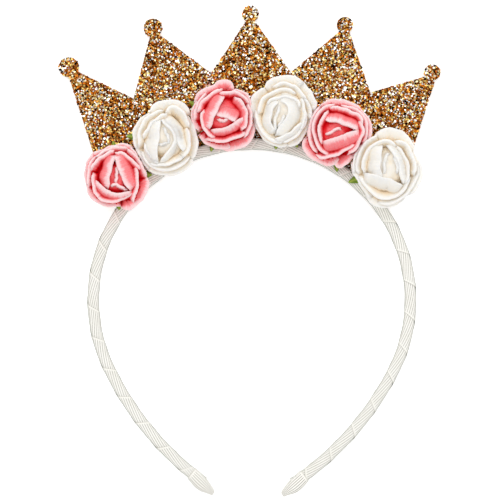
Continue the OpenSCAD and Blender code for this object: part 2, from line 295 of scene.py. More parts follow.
def petalMaterial(name, tint):
    # foam petals: pale at the rim and the body colour deepening below it, partly the foam's own colour and partly
    # painted shade, then the deep colour of painted shade down between the petals, with fine streaks that run from the
    # rim down
    material, tree, shader = newMaterial(name, Roughness=0.75, Specular_IOR_Level=0.15, Subsurface_Weight=0.3,
                                         Subsurface_Radius=tint["glow"], Subsurface_Scale=tint["spread"])
    height, shade = addGrain(tree, 0.45, 3.0, 6.0)
    fromRim = pointValue(tree, "fromRim")
    streakPlace = addNode(tree, "CombineXYZ", X=times(tree, pointValue(tree, "alongRim"), foam["streakAlong"]),
                          Y=times(tree, fromRim, foam["streakDown"])).outputs[0]
    streak = addNode(tree, "TexNoise", Vector=streakPlace, Scale=1.0, Detail=3.0).outputs["Fac"]
    down = times(tree, fromRim, 1 / foam["depth"], times(tree, shade, foam["patches"], -foam["patches"] / 2))
    down = times(tree, streak, foam["streaks"], mathNode(tree, "ADD", down, -foam["streaks"] / 2), clamp=True)
    body = colourRamp(tree, down, tint["stops"])
    fleck = times(tree, height, 2.2, -0.9, clamp=True)
    body = mixColour(tree, times(tree, fleck, foam["flecks"]), body, tint["fleck"])
    # the deep colour is painted shade down between the petals
    deep = times(tree, pointValue(tree, "hollow"), 0.62, -0.35, clamp=True)     # from 0.6 mm to 2.2 mm below the rims
    deep = times(tree, deep, times(tree, fromRim, 1.4, clamp=True))     # but not on the rim itself
    body = mixColour(tree, deep, body, tint["deep"])
    tree.links.new(body, shader.inputs["Base Color"])
    addBump(tree, shader, times(tree, streak, 0.7, height), 0.00018, 0.7)
    return material


# deep is the colour of painted shade down between the petals: saturated red in the pink foam, warm tan in the white
pinkTint = dict(glow=(1.0, 0.25, 0.25), spread=0.0007, fleck=(252, 196, 198), deep=(216, 0, 18), stops=[
    (0.0, (254, 222, 223)), (0.055, (253, 204, 206)), (0.1, (248, 138, 142)), (0.3, (244, 96, 102)),
    (0.6, (240, 72, 80)), (1.0, (224, 36, 50))])
whiteTint = dict(glow=(1.0, 0.9, 0.75), spread=0.0022, fleck=(245, 243, 238), deep=(246, 230, 206), stops=[
    (0.0, (244, 242, 238)), (0.06, (243, 240, 234)), (0.12, (242, 237, 228)), (0.3, (241, 234, 223)),
    (0.6, (240, 230, 215)), (1.0, (238, 225, 204))])
petalFoam = dict(pink=petalMaterial("pinkFoam", pinkTint), white=petalMaterial("whiteFoam", whiteTint))

# green calyx: olive, paler along the midrib and darker in patches
calyxGreen, tree, shader = newMaterial("calyxGreen", Roughness=0.5, Sheen_Weight=0.1)
height, shade = addGrain(tree, 0.4, 3.0)
body = mixColour(tree, shade, (70, 104, 6), (136, 164, 24))
body = mixColour(tree, pointValue(tree, "rib"), body, (168, 188, 66))
tree.links.new(body, shader.inputs["Base Color"])
addBump(tree, shader, height, 0.0001, 0.5)

# loose glitter flakes: each has one tone from a table, from black through bronze and gold to silver; the black and
# silver tones are painted dark reflections and glints among gold glitter
glitterFlake, tree, shader = newMaterial("glitterFlake", Metallic=1.0)
flakeStops = [
    (0.0, (8, 6, 5)), (0.13, (84, 36, 4)), (0.24, (146, 70, 10)), (0.4, (182, 98, 22)),
    (0.54, (206, 140, 56)), (0.66, (230, 198, 112)), (0.77, (248, 236, 184)), (0.85, (255, 255, 252))]
tree.links.new(colourRamp(tree, pointValue(tree, "tone"), flakeStops, steps=True), shader.inputs["Base Color"])
tree.links.new(times(tree, addGrain(tree, 0.3, 2.0)[1], 0.3, 0.15), shader.inputs["Roughness"])

# glitter sheet: fine glitter cells on the face and edges, brown felt on the back
sheetPaint = dict(cell=0.55, feltTop=0.00015, stops=[      # cell in millimetres, top of the felt in metres
    (0.0, (20, 12, 8)), (0.2, (90, 42, 8)), (0.5, (150, 78, 16)), (0.75, (190, 120, 44)), (0.9, (240, 214, 140))])
glitterSheet, tree, shader = newMaterial("glitterSheet", Roughness=0.4)
place = addNode(tree, "TexCoord").outputs["Object"]
cells = addNode(tree, "TexVoronoi", Vector=place, Scale=1000 / sheetPaint["cell"])
cellTone = addNode(tree, "SeparateColor", Color=cells.outputs["Color"]).outputs[0]
glitter = colourRamp(tree, cellTone, sheetPaint["stops"], steps=True)
upright = addNode(tree, "SeparateXYZ", Vector=place).outputs["Z"]
front = mathNode(tree, "GREATER_THAN", upright, sheetPaint["feltTop"])
height, shade = addGrain(tree, 0.35, 4.0)
felt = mixColour(tree, shade, (150, 112, 70), (186, 148, 100))
tree.links.new(mixColour(tree, front, felt, glitter), shader.inputs["Base Color"])
tree.links.new(times(tree, front, 0.85), shader.inputs["Metallic"])
tree.links.new(times(tree, front, -0.5, 0.9), shader.inputs["Roughness"])
cellLift = times(tree, cells.outputs["Distance"], front)
addBump(tree, shader, times(tree, height, 0.4, cellLift), 0.0003, 0.7)

# plain pale floor, which glows a little so that it is as pale as in the photograph
floorPaint, tree, shader = newMaterial("floorPaint", Roughness=0.9, Emission_Strength=0.45)
paint = mixColour(tree, addGrain(tree, 20.0, 400.0)[1], (248, 248, 248), (250, 250, 250))
tree.links.new(paint, shader.inputs["Base Color"])
tree.links.new(paint, shader.inputs["Emission Color"])
print("materials made")


# Band: ribbon wound round a plain core

band = dict(
    radii=(65.3, 62.1, 120.5), turns=(25.0, 91.0, 29.5),   # arcs of the middle line, from the top down each side
    wide=4.8, deep=6.0, corner=1.2,
    coreIn=0.7, coreShort=0.3, coreRows=260, coreAround=24,     # the core lies inside the ribbon and ends before it
)
bandLow, bandHigh = np.array(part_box("band")) * 1000
arcTurn = np.radians(band["turns"])
arcLength = np.array(band["radii"]) * arcTurn
arcFrom = np.concatenate([[0], np.cumsum(arcLength)[:2]])
turnFrom = np.concatenate([[0], np.cumsum(arcTurn)[:2]])
heading = np.stack([np.sin(turnFrom), np.cos(turnFrom)], -1)
sideCentre = np.array([(band["radii"][0] - band["radii"][1]) * heading[1][0], 0.0])
arcCentre = np.stack([
    sideCentre - (band["radii"][0] - band["radii"][1]) * heading[1], sideCentre,
    sideCentre - (band["radii"][2] - band["radii"][1]) * heading[2]])
bandEnd = arcLength.sum()
bandTop = arcCentre[0, 1] + band["radii"][0]      # the middle line's top, over the middle that the arcs are drawn from
band["middle"] = ((bandLow[0] + bandHigh[0]) / 2, bandHigh[1] - bandTop - band["wide"] / 2)
band["height"] = (bandLow[2] + bandHigh[2]) / 2


# each rose's colour, its direction from straight up, and how far out from the band's middle line it stands
garland = dict(
    rose_1=("pink", -48.8, 10.585), rose_2=("white", -29.2, 10.73), rose_3=("pink", -10.3, 12.035),
    rose_4=("white", 8.2, 14.065), rose_5=("pink", 25.9, 12.325), rose_6=("white", 44.1, 13.05),
)
rosePlace = {
    name: (band["middle"][0] + (bandTop + out) * math.sin(math.radians(turn)),
           band["middle"][1] + (bandTop + out) * math.cos(math.radians(turn)))
    for name, (colour, turn, out) in garland.items()}


def onBand(s, out, front):
    # length s from the top (right is plus), out from the middle line, front from the middle of its depth:
    # each side is three arcs, a point on one is its centre + radius * (sin turn, cos turn)
    a, side = np.abs(s), np.where(s < 0, -1.0, 1.0)
    i = (a >= arcFrom[1]).astype(int) + (a >= arcFrom[2])
    radius = np.array(band["radii"])[i]
    turn = turnFrom[i] + (a - arcFrom[i]) / radius
    x = arcCentre[i, 0] + (radius + out) * np.sin(turn)
    y = arcCentre[i, 1] + (radius + out) * np.cos(turn)
    return np.stack([side * x + band["middle"][0], y + band["middle"][1], band["height"] + front], -1)


def sectionTable(wide, deep, corner):
    # a rounded rectangle from the middle of its front edge, over the outside, the back and the inside:
    # (out, front) points, their outward directions and the length run so far
    a = np.radians(np.arange(0, 361, 3))
    cx = np.where((a <= np.pi), wide / 2 - corner, corner - wide / 2)
    cy = np.where((a < np.pi / 2) | (a > 1.5 * np.pi), deep / 2 - corner, corner - deep / 2)
    away = np.stack([np.sin(a), np.cos(a)], -1)
    edge = np.stack([cx, cy], -1) + corner * away
    edge[0, 0] = edge[-1, 0] = 0
    return edge, away, runAlong(edge)


bandEdge, bandAway, bandRun = sectionTable(band["wide"], band["deep"], band["corner"])
girth = bandRun[-1]


def roundBand(g, lift):
    # (out, front) at girth g, lifted off the band's surface
    g = np.mod(g, girth)
    return [np.interp(g, bandRun, bandEdge[:, k]) + lift * np.interp(g, bandRun, bandAway[:, k]) for k in (0, 1)]


# core: the band's section carried along its middle line, a little inside the ribbon
coreEnd = bandEnd - band["coreShort"]
s, g = np.meshgrid(np.linspace(-coreEnd, coreEnd, band["coreRows"]),
                   np.linspace(0, girth, band["coreAround"], endpoint=False), indexing="ij")
points, quads = loopSolid(onBand(s, *roundBand(g, -band["coreIn"])))
core = makePiece("band_core", points, quads)
wear(core, ribbonMaterial("plainCore", ribbonTint, ribs=False))

ribbon = dict(
    wide=12.0, thick=0.15, pitch=12.9, skew=0.2, samples=4,     # samples is points to a rib
    marks=((-14.9, -190.8), (-6, -77.75), (8, 104.1), (15.2, 198.0)),   # turn of the ribbon, place of its edge
    wander=0.16,        # how unevenly the turns lie
    stop=184, crowd=4.6,        # turns past stop crowd within this length, so the ends stay under their covers
    ribs=24.7, ribDepth=0.15, flat=0.75,        # ribs to a turn, and how high the selvedges lie between valley and rib
    lap=0.18, sunk=0.1, tuckIn=0.2, edgeIn=0.06,        # the lapped edge rises, the far edge and the first one dip
    # shares of its width over which the near selvedge ends, the far one begins, the far edge dives
    # under the next turn and the lap comes down
    near=(0.035, 0.075), far=(0.94, 0.975), tuck=(0.86, 0.93), lapTo=(0.0, 0.3),
)
markTurn, markPlace = np.array(ribbon["marks"]).T
steps = int((markTurn[-1] - markTurn[0]) * ribbon["ribs"] * ribbon["samples"])
rib = np.linspace(markTurn[0], markTurn[-1], steps)
top = np.array([0, 0.006, 0.02, 0.05, 0.08, 0.1, 0.2, 0.35, 0.55, 0.75, 0.88, 0.93, 0.965, 1])
under = np.array([1, 0.75, 0.5, 0.25, 0.08, 0])
across = np.concatenate([top, under])
isTop = np.arange(len(across)) < len(top)
r, w = np.meshgrid(rib, across, indexing="ij")

# the ribbon's edge runs once round the girth for each turn, its width lies square to that edge
# and its ribs are a little skewed: turn = rib - skew * w,
# s = place of the edge - width across * girth / slant, g = girth * turn + width across * pitch / slant
pitch, stop, crowd = ribbon["pitch"], ribbon["stop"], ribbon["crowd"]
slant = math.hypot(pitch, girth)
t = r - ribbon["skew"] * w
turns = np.arange(-16, 17)
wander = np.interp(t, turns, chance.normal(0, ribbon["wander"], len(turns)))
s = np.interp(t, markTurn, markPlace) + (t < markTurn[0]) * (t - markTurn[0]) * pitch + wander
s = s - ribbon["wide"] * w * girth / slant
g = girth * t + ribbon["wide"] * w * pitch / slant
past = np.maximum(np.abs(s) - stop, 0)
s = np.where(past > 0, np.sign(s) * (stop + crowd * (1 - np.exp(-past / crowd))), s)

# height over the band's surface: lapped edge + rounded ribs, flat along both selvedges, the far edge tucked under
cord = roundRib(np.pi * ribbon["ribs"] * r + 0.3)
selvedge = 1 - ramp(w, *ribbon["near"]) * (1 - ramp(w, *ribbon["far"]))
body = cord * (1 - selvedge) + ribbon["flat"] * selvedge
lift = ribbon["lap"] * (1 - ramp(w, *ribbon["lapTo"])) - ribbon["tuckIn"] * ramp(w, *ribbon["tuck"]) - ribbon["sunk"]
lift = lift + np.where(isTop, ribbon["ribDepth"] * (body - 1), -ribbon["thick"])
lift = np.where(isTop & (w == 0), lift - ribbon["edgeIn"], lift)
points, quads = loopSolid(onBand(s, *roundBand(g, lift)))
winding = makePiece("band_ribbon", points, quads, dict(
    ribPlace=ribbon["ribs"] * r + 0.1, ribShown=np.where(isTop, 1 - selvedge, 0),       # 0.1 puts a line in each valley
    # edge places a thin line of painted shadow along the lapped edge
    selvedge=np.where(isTop, 1 - ramp(w, 0.025, 0.085), 0), edge=np.where(isTop, 1 - ramp(w, 0.0, 0.02), 0.0)))
wear(winding, ivoryRibbon)
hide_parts("band")
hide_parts("band")
print("band:", len(quads), "faces")


# End covers: ribbon folded over each end of the band

cover = dict(
    mouth=182.3, ribs=21, ribDepth=0.24, corner=0.66, lean=0.125, rows=76, around=240,
    ribsFrom=(0.5, 1.2), ribsTo=(10.8, 12.4), lip=(0.1, 0.5), lipTo=(0.6, 1.2),     # lengths from the mouth
    # along, half width away from the band's middle, half width towards it, half depth
    profile=((0, 2.3, 2.3, 2.9), (0.0, 2.62, 2.6, 3.2), (0.3, 2.72, 2.66, 3.3), (1.2, 2.85, 2.74, 3.4),
             (3.2, 3.08, 2.84, 3.5), (5.2, 3.1, 2.8, 3.45), (7.0, 2.8, 2.55, 3.3), (8.6, 2.15, 2.2, 3.0),
             (10.2, 1.55, 1.75, 2.6), (11.2, 1.2, 1.45, 2.2), (11.7, 1.0, 1.05, 1.7), (11.9, 0.5, 0.5, 0.8)),
)


def endCover(side):
    # a section |cos|^corner by |sin|^corner carried along the leg and leaning out from it,
    # from inside the band over the lip to the blunt tip
    rows = smoothLine(cover["profile"], cover["rows"])
    rows[:, 0] = np.maximum(rows[:, 0], 0)
    turn = np.linspace(0, 2 * np.pi, 1441)
    run = runAlong(np.stack([signedPower(f(turn), cover["corner"]) for f in (np.cos, np.sin)], -1))
    share = np.arange(cover["around"]) / cover["around"]
    along, a = np.meshgrid(rows[:, 0], np.interp(share * run[-1], run, turn), indexing="ij")   # equal steps round it
    ribPlace = share * cover["ribs"] + 0 * along
    fade = ramp(along, *cover["ribsFrom"]) * (1 - ramp(along, *cover["ribsTo"]))
    lift = cover["ribDepth"] * (roundRib(np.pi * ribPlace) - 1) * fade
    half = np.where(np.cos(a) > 0, rows[:, 1:2], rows[:, 2:3]) + lift
    out = half * signedPower(np.cos(a), cover["corner"]) + cover["lean"] * along
    front = (rows[:, 3:] + lift) * signedPower(np.sin(a), cover["corner"])
    points, quads = loopSolid(onBand(side * (cover["mouth"] + along), out, front))
    lip = ramp(along, *cover["lip"])
    # edge places painted shadow at the mouth, where the cover steps down onto the band
    return points, quads, dict(ribPlace=ribPlace, ribShown=fade, edge=0.7 - 0.7 * lip,
                               selvedge=0.5 * lip * (1 - ramp(along, *cover["lipTo"])))


for side, label in ((-1, "end_cover_left"), (1, "end_cover_right")):
    points, quads, values = endCover(side)
    piece = makePiece(label + "_ribbon", points, quads, values)
    wear(piece, coverRibbon)
    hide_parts(label)
print("end covers made")


# Crown: glitter sheet with loose flakes on its face

crown = dict(
    # how far the points and the lows between them reach from the fan's centre, which is drop below the band's middle
    tip=134.5, notch=112.0, drop=19.8,
    step=16.55, turn=1.25,      # degrees from one point to the next, and how far the fan is turned to the left
    ball=3.5, neck=3.8, neckUp=0.9, sheet=2.0,
    cut=61.1, footIn=1.02,      # the feet end footIn inside the cut, measured from the band's middle
    points=(     # turn in steps, reach, size of the ball, width of the neck and its lean to the right
        (-1.98, 1.000, 1.14, 1.13, 0.00), (-1.02, 1.001, 1.06, 1.08, -0.07), (0.00, 0.999, 0.93, 0.94, 0.00),
        (0.98, 1.006, 0.92, 1.08, 0.24), (2.01, 0.986, 0.93, 1.20, 0.20)),
    lows=((-2.63, 0.741), (-1.51, 0.990), (-0.49, 0.997), (0.50, 1.001), (1.51, 1.013), (2.69, 0.741)),
)
flakes = dict(
    large=dict(spacing=0.76, size=(0.28, 0.48), corners=6, rise=0.14, tilt=0.34),
    small=dict(spacing=0.6, size=(0.15, 0.27), corners=4, rise=0.1, tilt=0.45),
    thick=0.06, over=0.08,      # of a flake, and the least gap between its middle and the sheet
    jitter=0.35, stretch=(0.75, 1.25), steepest=0.9, lowest=-0.3,       # bounds of what chance does to it
    clear=6.7, hem=65.4,        # no flakes within clear of a rose's middle or inside the hem
)


def fanPoint(r, steps, across=0.0):
    # r from the fan's centre, so many steps from straight up, then across to its right
    a = np.radians(steps * crown["step"] - crown["turn"])
    return np.array([r * np.sin(a) + across * np.cos(a) + band["middle"][0],
                     r * np.cos(a) - across * np.sin(a) - crown["drop"] + band["middle"][1]])


def crownOutline():
    # from the right foot over the five points to the left foot: each point has a neck that narrows inside its ball
    lows = [fanPoint(crown["notch"] * reach, turn) for turn, reach in crown["lows"]]
    footReach = crown["cut"] - crown["footIn"]
    feet = [band["middle"] + (low - band["middle"]) * footReach / np.linalg.norm(low - band["middle"])
            for low in (lows[-1], lows[0])]
    rows = [feet[0]]
    for k in range(4, -1, -1):
        turn, reach, size, neck, lean = crown["points"][k]
        high = crown["tip"] * reach
        low = high - crown["neckUp"] * crown["ball"] * size
        right, left = crown["neck"] * (lean + neck / 2), crown["neck"] * (lean - neck / 2)
        corners = ((low, right), (high, right / 2), (high, left / 2), (low, left))
        rows += [lows[k + 1]] + [fanPoint(r, turn, w) for r, w in corners]
    return np.array(rows + [lows[0], feet[1]])


def insideCrown(x, y):
    # an odd number of outline edges to the right of the point, or within a ball, outside the hem and clear of the cups
    a = crownOutline()
    b = np.roll(a, -1, axis=0)
    spans = (a[:, 1] > y[:, None]) != (b[:, 1] > y[:, None])
    with np.errstate(divide="ignore", invalid="ignore"):
        cross = a[:, 0] + (y[:, None] - a[:, 1]) * (b[:, 0] - a[:, 0]) / (b[:, 1] - a[:, 1])
    inside = (spans & (cross > x[:, None])).sum(1) % 2 == 1
    for turn, reach, size, neck, lean in crown["points"]:
        middle = fanPoint(crown["tip"] * reach, turn)
        inside |= np.hypot(x - middle[0], y - middle[1]) < crown["ball"] * size
    inside &= np.hypot(x - band["middle"][0], y - band["middle"][1]) > flakes["hem"]
    for cup in rosePlace.values():
        inside &= np.hypot(x - cup[0], y - cup[1]) > flakes["clear"]
    return inside


def scatter(kind, spacing, size, corners, rise, tilt):
    # marks on a jittered grid of triangles over the sheet. Each gets a thin plate whose corners are
    # r * (cos a, sin a), turned about an upright axis and then tilted by a random slope
    low, high = np.array(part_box("crown")) * 1000
    rowGap = spacing * 0.866        # the height of an even triangle
    x, y = np.meshgrid(np.arange(low[0], high[0], spacing), np.arange(low[1], high[1], rowGap), indexing="xy")
    x = x + spacing / 2 * (np.arange(x.shape[0]) % 2)[:, None]
    jitter = flakes["jitter"]
    x = (x + chance.uniform(-jitter, jitter, x.shape) * spacing).ravel()
    y = (y + chance.uniform(-jitter, jitter, y.shape) * spacing).ravel()
    keep = insideCrown(x, y)
    x, y = x[keep], y[keep]
    count = len(x)
    radius = chance.uniform(*size, count)
    spin, lean = chance.uniform(0, np.pi, count), chance.uniform(0, 2 * np.pi, count)
    slope = np.tan(np.abs(chance.normal(0, tilt, count)).clip(0, flakes["steepest"]))
    corner = np.arange(corners) * 2 * np.pi / corners
    stretch = chance.uniform(*flakes["stretch"], (count, corners))
    dx = radius[:, None] * stretch * np.cos(corner + spin[:, None])
    dy = radius[:, None] * stretch * np.sin(corner + spin[:, None])
    dz = slope[:, None] * (dx * np.cos(lean)[:, None] + dy * np.sin(lean)[:, None])
    dz = np.maximum(dz, flakes["lowest"])
    z = crown["sheet"] + flakes["over"] + rise * (0.5 + chance.random(count))
    face = np.stack([x[:, None] + dx, y[:, None] + dy, z[:, None] + dz], -1)
    plate = np.stack([face, face - [0, 0, flakes["thick"]]], 1).reshape(count, 2 * corners, 3)
    k = np.arange(corners)
    lid = np.array([[0, 2 * i + 1, 2 * i + 2, (2 * i + 3) % corners] for i in range(corners // 2 - 1)])
    walls = np.stack([k + corners, (k + 1) % corners + corners, (k + 1) % corners, k], -1)
    one = np.concatenate([lid, (lid + corners)[:, ::-1], walls])
    quads = (one[None] + 2 * corners * np.arange(count)[:, None, None]).reshape(-1, 4)
    tone = np.repeat(chance.random(count), 2 * corners)
    piece = makePiece("crown_flakes_" + kind, plate.reshape(-1, 3), quads, dict(tone=tone), smooth=False)
    wear(piece, glitterFlake)
    print("crown:", count, kind, "flakes,", 2 * len(quads), "triangles")


for kind in ("large", "small"):
    scatter(kind, **flakes[kind])
wear(nodes["crown"], glitterSheet)


# Roses: thick foam petals, each on its own rim line

petal = dict(
    seat=9.1,       # where the petals' feet stand, over the frame's floor
    thick=1.05, fatter=0.9, thinEnds=0.7,       # at the rim, how much more at the foot and how much less at both ends
    along=46, up=14, rim=7, square=0.62,        # points along a petal, up it and round its rim, and the rim's shape
    wave=0.13, nicks=0.06, swell=0.16, rough=0.05,      # chance in the rim: the first two sideways, the others up
    ripple=0.1,     # and in the sheet below it
    bellyAt=0.72, flareAt=0.93,     # height of the side point as a share of the rim's
    outerIn=0.5, endDrop=0.5,       # how far outer rims move in, and how far a rim drops from its middle to its ends
)
# how far in a petal's foot stands, how deep its rim dives at its ends, how far it runs on past the marks,
# and how fast its colour deepens below the rim, on the inner face and on the outer one, which is partly painted shade
kinds = dict(
    bud=(0.9, 1.6, 0.4, 1.4, 1.0), inner=(1.0, 5.0, 1.3, 1.6, 0.62), mid=(0.6, 4.5, 0.8, 1.25, 2.0),
    rim=(0.55, 3.5, 0.5, 1.15, 1.5), outer=(0.45, 1.8, 0.3, 0.8, 0.32),
)


def petalSolid(kind, top, belly, marks, seed):
    # each line up the petal is (1-v)^2 of its foot + 2v(1-v) of a side point + v^2 of its rim, thickened both ways.
    # It also returns for each point how deep its colour is, its place for the streaks and whether it can be shaded
    foot, sink, reach, deepenIn, deepenOut = kinds[kind]
    wobble = np.random.default_rng(seed)
    marks = np.array(marks)
    marks = marks * (1 - (kind == "outer") * petal["outerIn"] / np.linalg.norm(marks, axis=1, keepdims=True))
    marks = np.concatenate([[marks[0] + reach * unit(marks[0] - marks[1])], marks,
                            [marks[-1] + reach * unit(marks[-1] - marks[-2])]])
    rim = smoothLine(marks, petal["along"])
    u = np.linspace(0, 1, petal["along"])
    offMiddle = np.abs(2 * u - 1)
    tangent = unit(np.gradient(rim, axis=0))
    away = np.stack([-tangent[:, 1], tangent[:, 0]], -1)
    wave = petal["wave"] * np.sin(2 * np.pi * (u * wobble.uniform(1.5, 3.5) + wobble.random()))
    rim = rim + away * wave[:, None]
    fromEnd = np.minimum(u, 1 - u) * np.linalg.norm(np.diff(rim, axis=0), axis=1).sum()
    nicks = petal["nicks"] * np.convolve(wobble.normal(0, 1.2, len(u) + 2), [0.2, 0.6, 0.2], "valid")
    rim = rim + away * nicks[:, None]
    height = top - sink * (1 - ramp(fromEnd, 0, reach + 1.3)) - petal["endDrop"] * offMiddle ** 2
    height = height + petal["swell"] * np.sin(2 * np.pi * (u * wobble.uniform(1.5, 3) + wobble.random()))
    height = height + wobble.normal(0, petal["rough"], len(u))
    if belly > 0:
        fade = 1 - offMiddle ** 4 * 0.6
        side, sideHeight = rim + away * (2 * belly * fade)[:, None], height * petal["bellyAt"]
    else:
        side, sideHeight = rim + away * 1.5 * belly, height * petal["flareAt"]
    v = np.linspace(0, 1, petal["up"])[None, :, None]
    foot3 = np.concatenate([rim * foot, np.full((len(u), 1), -0.2)], 1)[:, None]
    side3 = np.concatenate([side, sideHeight[:, None]], 1)[:, None]
    rim3 = np.concatenate([rim, height[:, None]], 1)[:, None]
    sheet = (1 - v) ** 2 * foot3 + 2 * v * (1 - v) * side3 + v ** 2 * rim3

    alongU, alongV = np.gradient(sheet, axis=0), np.gradient(sheet, axis=1)
    normal = unit(np.cross(alongU, alongV))
    normal *= np.sign(np.sum(normal[:, :, :2] * away[:, None], -1).mean())    # towards the outside
    ripple = petal["ripple"] * np.sin(5 * u[:, None] + wobble.uniform(0, 6) + 4 * v[:, :, 0]) * (1 - v[:, :, 0])
    sheet = sheet + normal * ripple[:, :, None]
    run = np.linalg.norm(np.diff(sheet, axis=1), axis=2)[:, ::-1].cumsum(1)[:, ::-1]
    run = np.concatenate([run, np.zeros((len(u), 1))], 1)
    half = petal["thick"] / 2 * (1 - petal["thinEnds"] * offMiddle ** 10)[:, None, None]
    half = half * (1 + petal["fatter"] * ramp(run, 0.3, 3.6))[:, :, None]     # thicker towards the foot
    turn = np.linspace(0, np.pi, petal["rim"] + 2)[None, 1:-1, None]
    up = unit(alongV[:, -1:])
    inner, outer = sheet - half * normal, sheet + half * normal
    edge = sheet[:, -1:] + half[:, -1:] * (np.sin(turn) ** petal["square"] * up
                                           - signedPower(np.cos(turn), petal["square"]) * normal[:, -1:])
    points, quads = loopSolid(np.concatenate([inner, edge, outer[:, ::-1]], 1))
    run = run + 0.25        # the way over the rounded rim
    # the colour deepens with the way down from the rim, faster on the inner face: partly painted shade
    fromRim = np.concatenate([run * deepenIn, np.zeros((len(u), petal["rim"])), run[:, ::-1] * deepenOut], 1)
    alongRim = np.linspace(0, 30 + seed, len(u))[:, None] + 0 * fromRim
    shaded = np.ones(fromRim.shape)
    if kind == "outer":
        shaded[:, petal["up"] + petal["rim"]:] = 0      # nothing shades the outside of the outermost petals
    return points, quads, fromRim.ravel(), alongRim.ravel(), shaded.ravel()


heart = dict(
    profile=((0.02, -6.05), (5.1, -6.05), (5.15, -3), (5.15, -0.1), (7.6, 0.3), (9.4, 1.6), (9.6, 3.6), (8.6, 5.4),
             (7.4, 8.2), (5.9, 10.5), (4.2, 11.6), (2.2, 12.0), (0.02, 12.1)),
    steps=48, fold=0.25, rise=dict(pink=0.0, white=1.5),        # how much higher it stands in each colour
)


def heartSolid(rise):
    # the stub in the cup and the closed middle between the petals, a profile turned round the rose's axis:
    # (r cos angle, r sin angle, height), with a shallow fold of sin(2 angle + 1.2 r) on top
    profile = smoothLine(heart["profile"], heart["steps"])
    angle = np.linspace(0, 2 * np.pi, heart["steps"], endpoint=False)
    r, h = np.maximum(profile[:, :1], 0.02), profile[:, 1:]
    h = h + rise * ramp(h, 3.0, 8.0) * (1 - 0.75 * ramp(h, 10.0, 12.0))
    fold = heart["fold"] * ramp(h, 7.0, 10.5) * np.sin(2 * angle + 1.2 * r) * ramp(r, 0.3, 2.0)
    points, quads = loopSolid(np.stack([r * np.cos(angle), r * np.sin(angle), h + fold], -1))
    # its colour is deeper out towards its foot, partly painted shade
    fromRim = 2.6 + 6.0 * ramp(r, 3.6, 7.0) + 0 * angle
    return points, quads, fromRim.ravel(), (3 * angle + 0 * r).ravel(), np.ones(len(points))


def hollowness(points, quads, cell=0.35, reach=6):
    # how deep each point lies between rims: the tops of all faces on a grid of cells, then for four directions
    # the lower of the highest tops within reach on the two sides, less the point's own height
    share = np.array([0.17, 0.5, 0.83])
    a, b = (w.ravel()[:, None, None] for w in np.meshgrid(share, share))
    p = points[quads]
    spots = (1 - a) * (1 - b) * p[:, 0] + a * (1 - b) * p[:, 1] + a * b * p[:, 2] + (1 - a) * b * p[:, 3]
    spots = spots.reshape(-1, 3)
    corner = points[:, :2].min(0) - (reach + 2) * cell
    size = ((points[:, :2].max(0) - corner) / cell).astype(int) + reach + 3
    tops = np.full(size, -10.0)
    i, j = ((spots[:, :2] - corner) / cell).astype(int).T
    np.maximum.at(tops, (i, j), spots[:, 2])
    i, j = ((points[:, :2] - corner) / cell).astype(int).T
    deep = np.zeros(len(points))
    for dx, dy in ((1, 0), (1, 1), (0, 1), (-1, 1)):
        one, other = (np.max([tops[i + k * dx, j + k * dy] for k in range(side, side * (reach + 1), side)], 0)
                      for side in (1, -1))
        deep = np.maximum(deep, np.minimum(one, other) - points[:, 2])
    return deep


def makeRose(name, place, petals, colour):
    solids = [petalSolid(*row, seed=k) for k, row in enumerate(petals)] + [heartSolid(heart["rise"][colour])]
    points, quads, fromRim, alongRim, shaded = joined(solids)
    high = ramp(points[:, 2], 3.5, 7.0)     # the feet that show from the side keep the body colour
    # hollow places the painted shade down between the petals
    values = dict(fromRim=fromRim * (0.3 + 0.7 * high), alongRim=alongRim,
                  hollow=hollowness(points, quads) * shaded * high)
    points = points + [*place, petal["seat"]]
    piece = makePiece(name + "_petals", points, quads, values)
    wear(piece, petalFoam[colour])
    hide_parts(name)
    print(name + ":", len(petals), "petals,", 2 * len(quads), "triangles")


